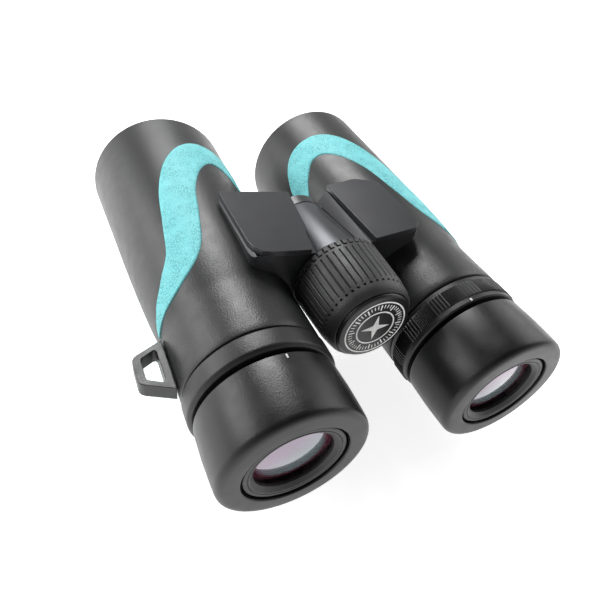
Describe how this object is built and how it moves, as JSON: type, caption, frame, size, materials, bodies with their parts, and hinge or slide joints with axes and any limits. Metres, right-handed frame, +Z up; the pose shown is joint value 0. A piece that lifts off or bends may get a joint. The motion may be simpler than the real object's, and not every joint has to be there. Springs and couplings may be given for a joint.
{
  "type": "roof prism binoculars",
  "caption": "Folding roof-prism binoculars with rubber-armoured barrels, leather inlays, centre focus wheel, dioptre ring and twist-up eyecups.",
  "frame": {"origin": "on the floor under the middle of the instrument lying flat, barrels open to their widest", "axes": "+X to the user's right, +Y from the eyepieces towards the objectives, +Z up through the bridge covers"},
  "size_m": [0.133, 0.144, 0.0558],
  "materials": {
    "armour_rubber": "matte, fine grained",
    "turquoise_leather": "pebbled, satin",
    "black_plastic": "satin",
    "eyecup_rubber": "smooth satin",
    "wheel_rubber": "ribbed, matte",
    "bridge_paint": "satin",
    "hinge_metal": "satin",
    "cast_alloy": "cast",
    "steel": "ground",
    "brass": "machined",
    "coated_glass": "pink and green anti-reflection coating",
    "prism_glass": "polished"
  },
  "bodies": {
    "left_half": {"left_armour": "armour_rubber", "left_chassis": "cast_alloy", "left_strap_lug": "armour_rubber", "left_inlay_top": "turquoise_leather", "left_inlay_under": "turquoise_leather", "left_prism_cage": "black_plastic", "left_roof_prism": "prism_glass", "left_half_prism": "prism_glass", "left_objective_cell": "black_plastic", "left_objective_crown": "coated_glass", "left_objective_flint": "coated_glass", "left_objective_retainer": "black_plastic", "left_ocular_tube": "black_plastic", "left_eye_lens": "coated_glass", "left_eye_lens_retainer": "black_plastic", "left_bridge_arm": "bridge_paint", "left_bridge_cover": "bridge_paint", "left_collar": "black_plastic", "left_field_cell": "cast_alloy", "left_field_lens": "prism_glass", "hinge_tube": "hinge_metal"},
    "right_half": {"right_armour": "armour_rubber", "right_chassis": "cast_alloy", "right_strap_lug": "armour_rubber", "right_inlay_top": "turquoise_leather", "right_inlay_under": "turquoise_leather", "right_prism_cage": "black_plastic", "right_roof_prism": "prism_glass", "right_half_prism": "prism_glass", "right_objective_cell": "black_plastic", "right_objective_crown": "coated_glass", "right_objective_flint": "coated_glass", "right_objective_retainer": "black_plastic", "right_ocular_tube": "black_plastic", "right_eye_lens": "coated_glass", "right_eye_lens_retainer": "black_plastic", "right_bridge_arm": "bridge_paint", "right_bridge_cover": "bridge_paint", "hinge_axle": "steel", "tripod_bush": "brass"},
    "left_focus": {"left_focus_cell": "cast_alloy", "left_focus_lens": "prism_glass"},
    "right_focus": {"right_focus_cell": "cast_alloy", "right_focus_lens": "prism_glass"},
    "right_field": {"right_field_cell": "cast_alloy", "right_field_lens": "prism_glass"},
    "right_dioptre": {"right_dioptre_ring": "black_plastic"},
    "focus_wheel": {"focus_wheel_core": "cast_alloy", "focus_wheel_grip": "wheel_rubber", "focus_wheel_cap": "black_plastic", "focus_spindle": "steel"},
    "focus_traveller": {"focus_traveller": "brass"},
    "left_eyecup_guide": {"left_eyecup_guide": "black_plastic"},
    "left_eyecup": {"left_eyecup": "eyecup_rubber"},
    "right_eyecup_guide": {"right_eyecup_guide": "black_plastic"},
    "right_eyecup": {"right_eyecup": "eyecup_rubber"},
    "tripod_cap": {"tripod_cap": "black_plastic"}
  },
  "joints": [
    {"name": "hinge_fold", "type": "hinge", "parent": "left_half", "child": "right_half", "pos_m": [0, 0, 0.0405], "axis": [0, 1, 0], "range_deg": [0, 40]},
    {"name": "focus_wheel_turn", "type": "hinge", "parent": "left_half", "child": "focus_wheel", "pos_m": [0, -0.034, 0.0405], "axis": [0, 1, 0], "range_deg": [-220, 220]},
    {"name": "focus_traveller_slide", "type": "slide", "parent": "left_half", "child": "focus_traveller", "axis": [0, 1, 0], "range_m": [-0.003, 0.003]},
    {"name": "left_focus_slide", "type": "slide", "parent": "left_half", "child": "left_focus", "axis": [0, 1, 0], "range_m": [-0.003, 0.003]},
    {"name": "right_focus_slide", "type": "slide", "parent": "right_half", "child": "right_focus", "axis": [0, 1, 0], "range_m": [-0.003, 0.003]},
    {"name": "dioptre_turn", "type": "hinge", "parent": "right_half", "child": "right_dioptre", "pos_m": [0.035, -0.046, 0.027], "axis": [0, 1, 0], "range_deg": [-25, 25]},
    {"name": "right_field_slide", "type": "slide", "parent": "right_half", "child": "right_field", "axis": [0, 1, 0], "range_m": [-0.0008, 0.0008]},
    {"name": "left_eyecup_lift", "type": "slide", "parent": "left_half", "child": "left_eyecup_guide", "axis": [0, -1, 0], "range_m": [0, 0.008]},
    {"name": "left_eyecup_twist", "type": "hinge", "parent": "left_eyecup_guide", "child": "left_eyecup", "pos_m": [-0.035, -0.062, 0.027], "axis": [0, -1, 0], "range_deg": [0, 120]},
    {"name": "right_eyecup_lift", "type": "slide", "parent": "right_half", "child": "right_eyecup_guide", "axis": [0, -1, 0], "range_m": [0, 0.008]},
    {"name": "right_eyecup_twist", "type": "hinge", "parent": "right_eyecup_guide", "child": "right_eyecup", "pos_m": [0.035, -0.062, 0.027], "axis": [0, -1, 0], "range_deg": [0, 120]},
    {"name": "tripod_cap_unscrew", "type": "slide", "parent": "right_half", "child": "tripod_cap", "axis": [0, 1, 0], "range_m": [0, 0.012]}
  ],
  "couplings": [
    {"joint": "focus_traveller_slide", "follows": "focus_wheel_turn", "m_per_rad": 0.00078},
    {"joint": "left_focus_slide", "follows": "focus_wheel_turn", "m_per_rad": 0.00078},
    {"joint": "right_focus_slide", "follows": "focus_wheel_turn", "m_per_rad": 0.00078},
    {"joint": "right_field_slide", "follows": "dioptre_turn", "m_per_rad": 0.00183},
    {"joint": "left_eyecup_lift", "follows": "left_eyecup_twist", "m_per_rad": 0.003819},
    {"joint": "right_eyecup_lift", "follows": "right_eyecup_twist", "m_per_rad": 0.003819}
  ]
}
